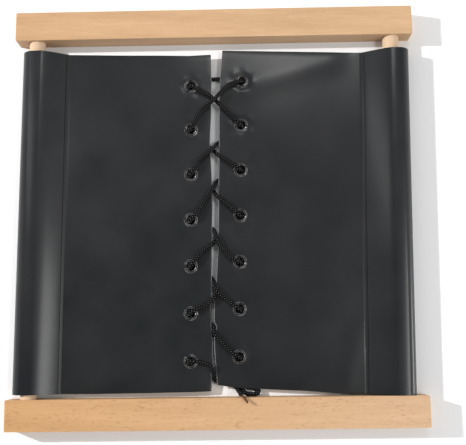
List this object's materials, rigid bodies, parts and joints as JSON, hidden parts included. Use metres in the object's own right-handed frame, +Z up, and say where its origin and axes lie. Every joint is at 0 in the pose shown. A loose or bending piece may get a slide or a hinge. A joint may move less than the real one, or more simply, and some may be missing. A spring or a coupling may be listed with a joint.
{
  "type": "shoe lacing dressing frame",
  "caption": "Beech frame of two bars on two dowels, with two dark leatherette flaps sleeved on the dowels and laced together over the middle through rows of metal eyelets.",
  "frame": {"origin": "under the middle of the frame, in the plane of the bars' back faces", "axes": "+X along the bars to the right, +Y from the bottom bar to the top bar, +Z up out of the front"},
  "size_m": [0.3, 0.31, 0.0193],
  "materials": {
    "beech": "clear satin lacquer",
    "leatherette": "smooth satin",
    "gunmetal": "dark plated",
    "black_cord": "round woven cord",
    "bronze_tip": "brown film"
  },
  "bodies": {
    "frame": {"top_bar": "beech", "bottom_bar": "beech", "left_dowel": "beech", "right_dowel": "beech"},
    "right_side": {"right_flap": "leatherette", "right_eyelet_1": "gunmetal", "right_eyelet_2": "gunmetal", "right_eyelet_3": "gunmetal", "right_eyelet_4": "gunmetal", "right_eyelet_5": "gunmetal", "right_eyelet_6": "gunmetal", "right_eyelet_7": "gunmetal", "right_washer_1": "gunmetal", "right_washer_2": "gunmetal", "right_washer_3": "gunmetal", "right_washer_4": "gunmetal", "right_washer_5": "gunmetal", "right_washer_6": "gunmetal", "right_washer_7": "gunmetal", "shoelace": "black_cord", "hidden_lace_tip": "bronze_tip", "leaning_lace_tip": "bronze_tip"},
    "left_side": {"left_flap": "leatherette", "left_eyelet_1": "gunmetal", "left_eyelet_2": "gunmetal", "left_eyelet_3": "gunmetal", "left_eyelet_4": "gunmetal", "left_eyelet_5": "gunmetal", "left_eyelet_6": "gunmetal", "left_eyelet_7": "gunmetal", "left_washer_1": "gunmetal", "left_washer_2": "gunmetal", "left_washer_3": "gunmetal", "left_washer_4": "gunmetal", "left_washer_5": "gunmetal", "left_washer_6": "gunmetal", "left_washer_7": "gunmetal"}
  },
  "joints": [
    {"name": "right_flap_swing", "type": "hinge", "parent": "frame", "child": "right_side", "pos_m": [0.1345, 0, 0.0075], "axis": [0, 1, 0], "range_deg": [0, 8]},
    {"name": "lacing_fold", "type": "hinge", "parent": "right_side", "child": "left_side", "pos_m": [0, 0, 0.005], "axis": [0, 1, 0], "range_deg": [-16, 0], "deforming": ["shoelace"]}
  ],
  "couplings": [
    {"joint": "lacing_fold", "follows": "right_flap_swing", "ratio": -2}
  ]
}
